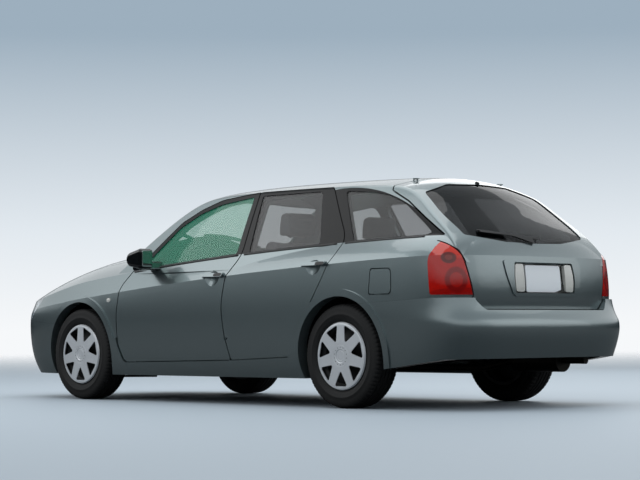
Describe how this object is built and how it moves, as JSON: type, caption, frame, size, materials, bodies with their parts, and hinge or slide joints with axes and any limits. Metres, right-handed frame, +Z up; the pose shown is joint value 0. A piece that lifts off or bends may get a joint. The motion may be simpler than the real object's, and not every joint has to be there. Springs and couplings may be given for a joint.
{
  "type": "station wagon",
  "caption": "Five-door family estate car with a hollow cabin, opening doors, bonnet and tailgate, and steered front wheels.",
  "frame": {"origin": "on the ground, under the middle of the car's length and width", "axes": "+X forward to the nose, +Y to the car's left, +Z up"},
  "size_m": [4.6831, 2.05, 1.4846],
  "materials": {
    "paint": "metallic paint",
    "black_trim": "moulded black plastic",
    "glass_front": "green-tinted glass",
    "glass_rear": "dark tinted glass",
    "tyre": "rubber",
    "rim": "painted steel",
    "cover": "silver painted plastic",
    "lamp_red": "red acrylic lens",
    "lamp_clear": "clear lens over reflector",
    "steel": "forged and welded steel",
    "underbody": "black sealed steel",
    "exhaust": "steel tube",
    "seat": "woven cloth",
    "dash": "grained plastic",
    "engine": "cast aluminium",
    "plate_white": "white reflective sheet"
  },
  "bodies": {
    "body": {"body_side_left": "paint", "front_fender_left": "paint", "body_side_right": "paint", "front_fender_right": "paint", "front_suspension": "steel", "rear_axle": "steel", "front_wheelhouses": "underbody", "rear_wheelhouses": "underbody", "floor_pan": "underbody", "bulkhead": "underbody", "dashboard": "dash", "steering_wheel": "dash", "front_seats": "seat", "rear_seat": "seat", "engine": "engine", "exhaust": "exhaust", "fuel_tank": "underbody", "cowl": "black_trim", "roof_panel": "paint", "windscreen": "glass_front", "quarter_glasses": "glass_rear", "front_bumper": "paint", "grille": "black_trim", "rear_bumper": "paint", "tail_lamps": "lamp_red", "headlamps": "lamp_clear", "front_wipers": "black_trim"},
    "wheel_front_left": {"tyre_front_left": "tyre", "rim_front_left": "rim", "wheel_cover_front_left": "cover"},
    "door_front_left": {"front_door_left": "paint", "front_door_glass_left": "glass_front", "mirror_left": "black_trim"},
    "wheel_front_right": {"tyre_front_right": "tyre", "rim_front_right": "rim", "wheel_cover_front_right": "cover"},
    "door_front_right": {"front_door_right": "paint", "front_door_glass_right": "glass_front", "mirror_right": "black_trim"},
    "wheel_rear_left": {"tyre_rear_left": "tyre", "rim_rear_left": "rim", "wheel_cover_rear_left": "cover"},
    "door_rear_left": {"rear_door_left": "paint", "rear_door_glass_left": "glass_rear"},
    "wheel_rear_right": {"tyre_rear_right": "tyre", "rim_rear_right": "rim", "wheel_cover_rear_right": "cover"},
    "door_rear_right": {"rear_door_right": "paint", "rear_door_glass_right": "glass_rear"},
    "steer_left": {"knuckle_left": "steel"},
    "steer_right": {"knuckle_right": "steel"},
    "bonnet_lid": {"bonnet": "paint"},
    "tailgate_lid": {"tailgate": "paint", "tailgate_glass": "glass_rear", "plate_garnish": "lamp_clear", "plate_lamps": "lamp_clear", "number_plate": "plate_white", "rear_wiper": "black_trim"},
    "fuel_lid": {"fuel_flap": "paint"}
  },
  "joints": [
    {"name": "steer_left", "type": "hinge", "parent": "body", "child": "steer_left", "pos_m": [1.3675, 0.64, 0.19], "axis": [0, -0.1404, 0.9901], "range_deg": [-30, 30]},
    {"name": "steer_right", "type": "hinge", "parent": "body", "child": "steer_right", "pos_m": [1.3675, -0.64, 0.19], "axis": [0, 0.1404, 0.9901], "range_deg": [-30, 30]},
    {"name": "roll_front_left", "type": "hinge", "parent": "steer_left", "child": "wheel_front_left", "pos_m": [1.3675, 0.7575, 0.326], "axis": [0, 1, 0], "continuous": true},
    {"name": "roll_front_right", "type": "hinge", "parent": "steer_right", "child": "wheel_front_right", "pos_m": [1.3675, -0.7575, 0.326], "axis": [0, 1, 0], "continuous": true},
    {"name": "roll_rear_left", "type": "hinge", "parent": "body", "child": "wheel_rear_left", "pos_m": [-1.3125, 0.7575, 0.326], "axis": [0, 1, 0], "continuous": true},
    {"name": "roll_rear_right", "type": "hinge", "parent": "body", "child": "wheel_rear_right", "pos_m": [-1.3125, -0.7575, 0.326], "axis": [0, 1, 0], "continuous": true},
    {"name": "door_front_left_swing", "type": "hinge", "parent": "body", "child": "door_front_left", "pos_m": [0.8985, 0.85712, 0.6], "axis": [0, 0, -1], "range_deg": [0, 65]},
    {"name": "door_front_right_swing", "type": "hinge", "parent": "body", "child": "door_front_right", "pos_m": [0.8985, -0.85712, 0.6], "axis": [0, 0, 1], "range_deg": [0, 65]},
    {"name": "door_rear_left_swing", "type": "hinge", "parent": "body", "child": "door_rear_left", "pos_m": [-0.23246, 0.8624, 0.6], "axis": [0, 0, -1], "range_deg": [0, 65]},
    {"name": "door_rear_right_swing", "type": "hinge", "parent": "body", "child": "door_rear_right", "pos_m": [-0.23246, -0.8624, 0.6], "axis": [0, 0, 1], "range_deg": [0, 65]},
    {"name": "tailgate_swing", "type": "hinge", "parent": "body", "child": "tailgate_lid", "pos_m": [-1.53287, 0, 1.43945], "axis": [0, 1, 0], "range_deg": [0, 75]},
    {"name": "bonnet_swing", "type": "hinge", "parent": "body", "child": "bonnet_lid", "pos_m": [1.0534, 0, 0.98642], "axis": [0, -1, 0], "range_deg": [0, 55]},
    {"name": "fuel_flap_swing", "type": "hinge", "parent": "body", "child": "fuel_lid", "pos_m": [-1.5954, 0.85448, 0.7844], "axis": [0, 0, -1], "range_deg": [0, 95]}
  ],
  "couplings": [
    {"joint": "steer_right", "follows": "steer_left", "ratio": 1}
  ]
}
